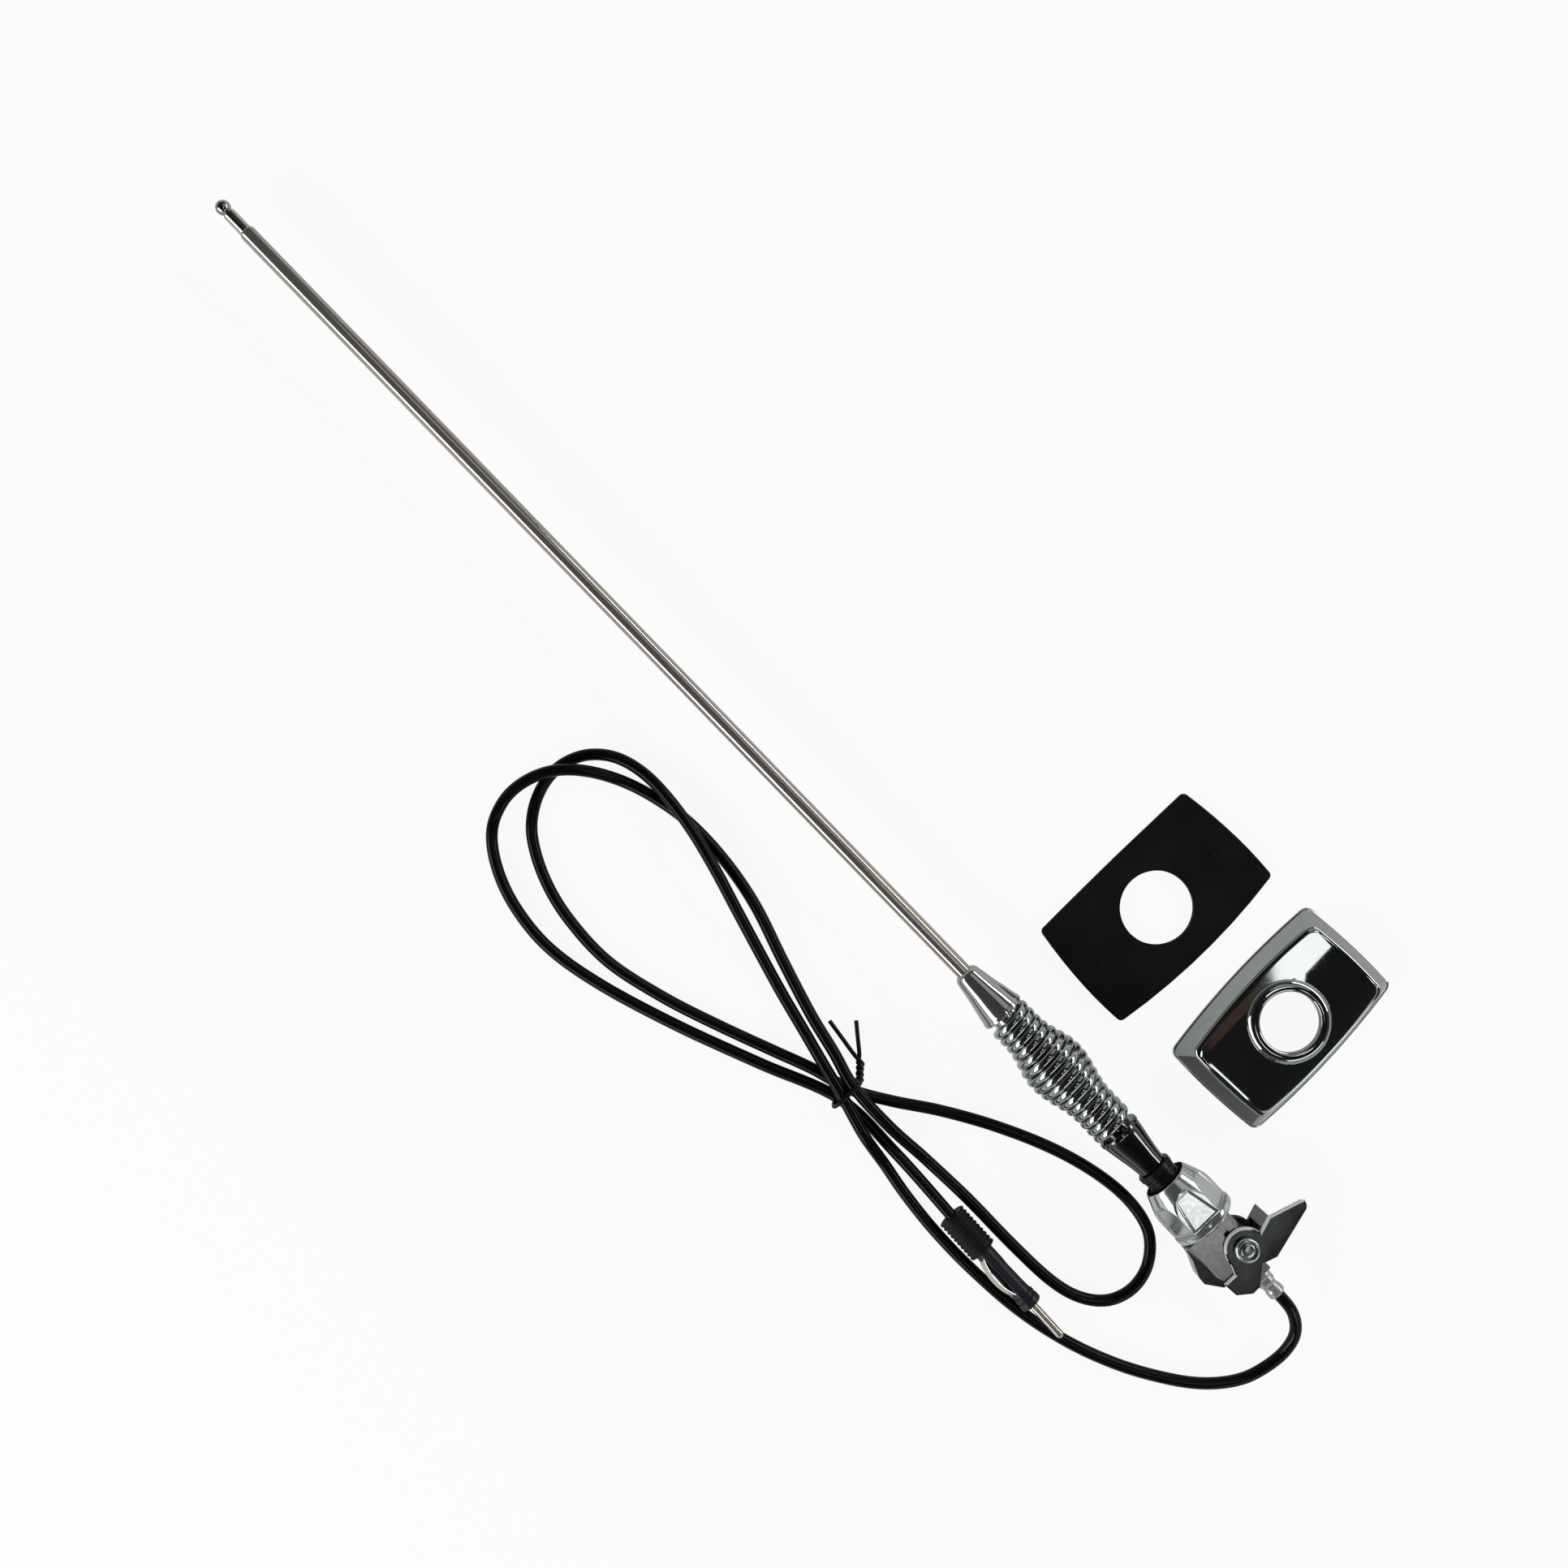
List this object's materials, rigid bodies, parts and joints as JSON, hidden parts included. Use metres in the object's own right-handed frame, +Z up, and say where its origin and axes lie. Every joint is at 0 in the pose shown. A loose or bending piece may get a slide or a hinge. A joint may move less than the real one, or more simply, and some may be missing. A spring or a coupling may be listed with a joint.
{
  "type": "car mast aerial",
  "caption": "Telescopic car aerial with a barrel spring, ball-joint head, swinging claw, tied lead with plug, and its loose gasket and chrome bezel.",
  "frame": {"origin": "on the table, under the middle of the aerial, bezel and gasket", "axes": "+X along the mast towards its tip, +Z up from the table it lies on"},
  "size_m": [0.5932, 0.2234, 0.026],
  "materials": {
    "nickel": "polished nickel plate",
    "brass": "drawn brass",
    "mast_steel": "drawn and polished stainless tube",
    "chrome": "bright chrome",
    "spring_chrome": "chromed spring wire",
    "copper": "tinned copper",
    "black_plastic": "moulded black plastic",
    "head_chrome": "bright chrome over a casting",
    "zinc_casting": "satin plated casting",
    "white_plastic": "natural plastic sleeve",
    "dark_zinc": "dark zinc plated pressing",
    "bright_zinc": "bright zinc plate",
    "crimp_metal": "plated tube",
    "lead_sheath": "smooth black cable sheath",
    "tie_plastic": "plastic covered wire",
    "boot_rubber": "ribbed soft moulding",
    "plug_plastic": "moulded black plastic",
    "spring_strip": "sprung plated strip",
    "bezel_chrome": "mirror chrome",
    "gasket_rubber": "matt black rubber"
  },
  "bodies": {
    "base": {"base_body": "zinc_casting", "head_nut": "head_chrome", "contact_wire": "copper", "wire_sleeve": "white_plastic", "claw_washers": "bright_zinc", "claw_screw": "bright_zinc", "claw_nut": "bright_zinc", "crimp_ferrule": "crimp_metal", "lead": "lead_sheath", "twist_tie": "tie_plastic", "plug_boot": "boot_rubber", "plug_barrel": "plug_plastic", "plug_collar": "plug_plastic", "earth_leaf": "spring_strip", "plug_pin": "nickel", "bezel": "bezel_chrome", "gasket": "gasket_rubber"},
    "spring_base": {"insulator": "black_plastic", "lower_ferrule": "chrome", "spring": "spring_chrome", "braid": "copper"},
    "mast": {"upper_ferrule": "chrome", "outer_tube": "mast_steel"},
    "mid": {"mid_tube": "nickel", "mid_shoe": "brass"},
    "top": {"top_rod": "nickel", "top_shoe": "brass", "tip_ball": "nickel"},
    "claw_body": {"claw": "dark_zinc"}
  },
  "joints": [
    {"name": "head_lean", "type": "hinge", "parent": "base", "child": "spring_base", "pos_m": [-0.2331, 0.0486, 0.013], "axis": [0, 0, 1], "range_deg": [-12, 12]},
    {"name": "spring_flex", "type": "hinge", "parent": "spring_base", "child": "mast", "pos_m": [-0.1685, 0.0486, 0.013], "axis": [0, 0, 1], "range_deg": [-20, 20], "stiffness_Nm_per_rad": 2, "deforming": ["spring", "braid"]},
    {"name": "mid_slide", "type": "slide", "parent": "mast", "child": "mid", "axis": [1, 0, 0], "range_m": [0, 0.355]},
    {"name": "top_slide", "type": "slide", "parent": "mid", "child": "top", "axis": [1, 0, 0], "range_m": [0, 0.355]},
    {"name": "claw_swing", "type": "hinge", "parent": "base", "child": "claw_body", "pos_m": [-0.2613, 0.045, 0.013], "axis": [0, 0, 1], "range_deg": [-70, 12]}
  ]
}
